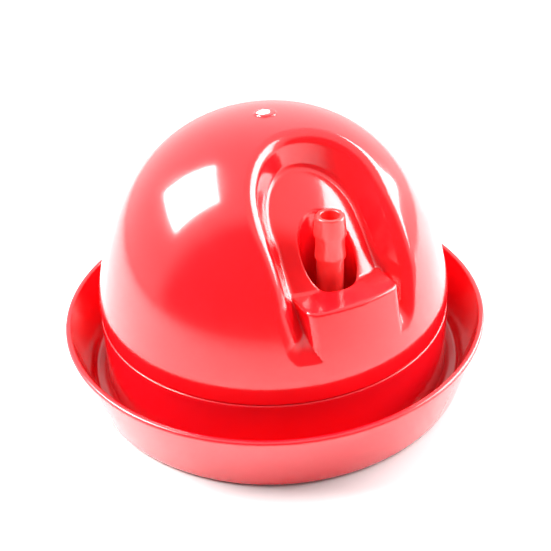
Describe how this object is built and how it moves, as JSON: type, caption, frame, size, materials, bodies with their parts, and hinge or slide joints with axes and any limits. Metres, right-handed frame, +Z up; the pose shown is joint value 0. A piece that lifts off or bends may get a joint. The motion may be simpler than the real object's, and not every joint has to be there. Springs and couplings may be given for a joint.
{
  "type": "poultry waterer",
  "caption": "Round water tray under a lift-off dome, filled through a barbed hose inlet by a float valve.",
  "frame": {"origin": "on the ground under the centre of the round tray", "axes": "+Z up along the dome's and the inlet's axes, -Y towards the side with the hose recess, +X to the right seen from that side"},
  "size_m": [0.235, 0.235, 0.1482],
  "materials": {
    "tray": "glossy moulded red plastic",
    "dome": "glossy moulded red plastic",
    "tower": "satin black moulded plastic",
    "screws": "stainless steel",
    "inlet": "semi-matte orange-red moulded plastic",
    "gasket": "black rubber",
    "nut": "satin black moulded plastic",
    "filter": "natural white plastic",
    "nozzle": "turned brass",
    "pin": "stainless steel",
    "nylon": "natural nylon",
    "spring_steel": "dark spring steel",
    "lever": "natural acetal",
    "float": "white moulded plastic",
    "brass_nut": "turned brass"
  },
  "bodies": {
    "base": {"tray": "tray", "valve_tower": "tower", "tower_screws": "screws", "spigot": "inlet", "spigot_gasket": "gasket", "spigot_nut": "nut", "inlet_filter": "filter", "seat_nozzle": "nozzle", "seat_washer": "gasket", "lever_pin": "pin", "hub_washers": "nylon", "pin_clips": "spring_steel"},
    "dome_cover": {"dome": "dome"},
    "float_arm": {"float_lever": "lever", "valve_disc": "gasket", "float_upper": "float", "float_lower": "float", "float_stud": "pin", "float_nuts": "brass_nut", "float_washer": "screws"}
  },
  "joints": [
    {"name": "dome_lift", "type": "slide", "parent": "base", "child": "dome_cover", "axis": [0, 0, 1], "range_m": [0, 0.085]},
    {"name": "float_hinge", "type": "hinge", "parent": "base", "child": "float_arm", "pos_m": [0, -0.08, 0.041], "axis": [1, 0, 0], "range_deg": [0, 6]}
  ]
}
